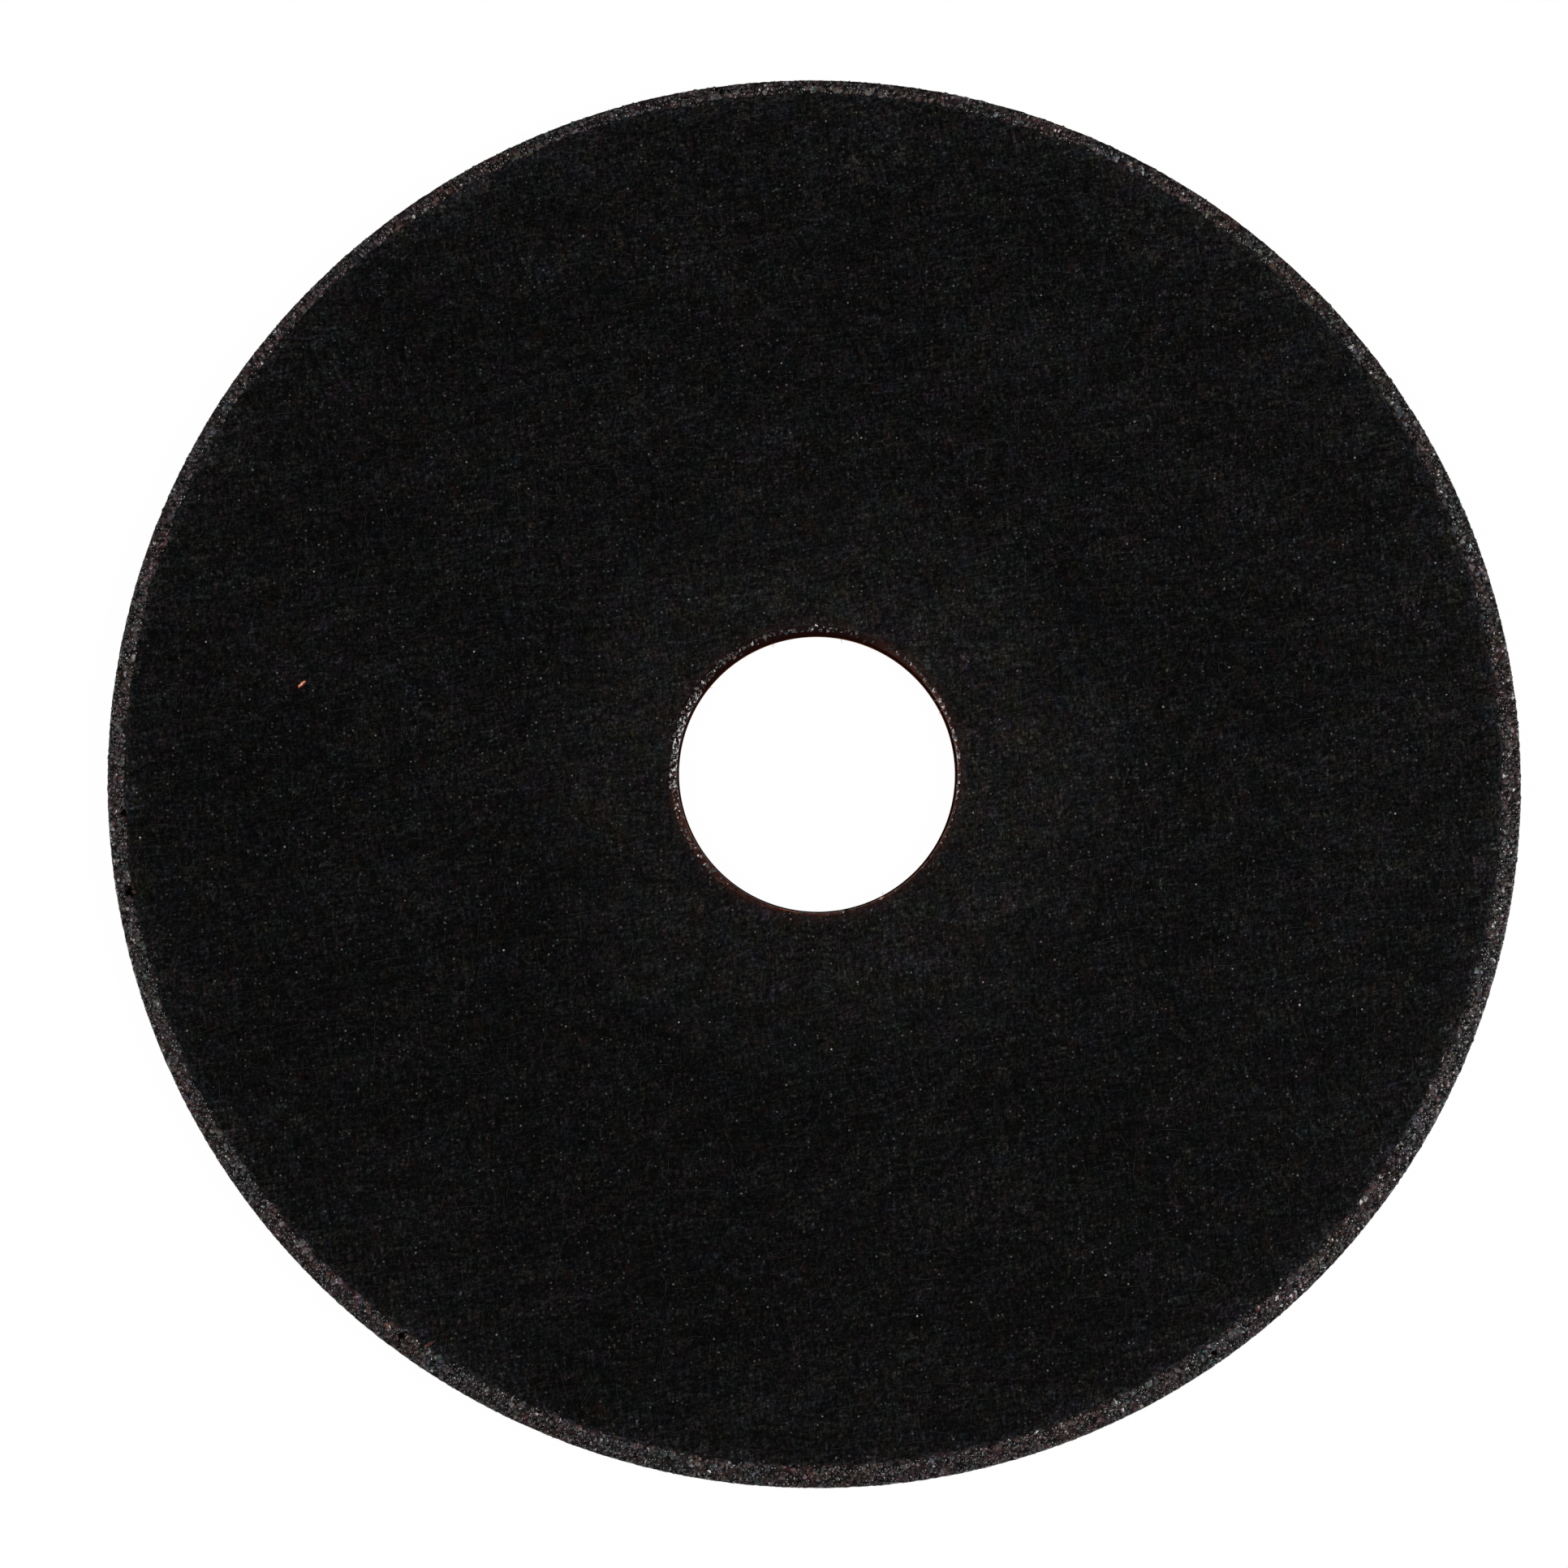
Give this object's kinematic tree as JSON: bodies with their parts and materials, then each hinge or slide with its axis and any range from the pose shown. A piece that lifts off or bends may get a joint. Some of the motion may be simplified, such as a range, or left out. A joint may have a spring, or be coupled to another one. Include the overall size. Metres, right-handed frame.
{
  "type": "cut-off wheel",
  "caption": "Flat round abrasive cut-off wheel with a plain central bore, a bare grit rim and a thin black facing let into each side.",
  "frame": {"origin": "centre of the bore on the wheel's lower face", "axes": "+Z along the wheel's axis, up from the face it lies on"},
  "size_m": [0.1142, 0.1142, 0.0016],
  "materials": {
    "bonded_grit": "coarse brown-grey grit in glossy reddish-brown resin",
    "black_facing": "matt black fibrous sheet with short fibres and small glints"
  },
  "bodies": {
    "root": {"abrasive_disc": "bonded_grit", "upper_facing": "black_facing", "lower_facing": "black_facing"}
  },
  "joints": []
}
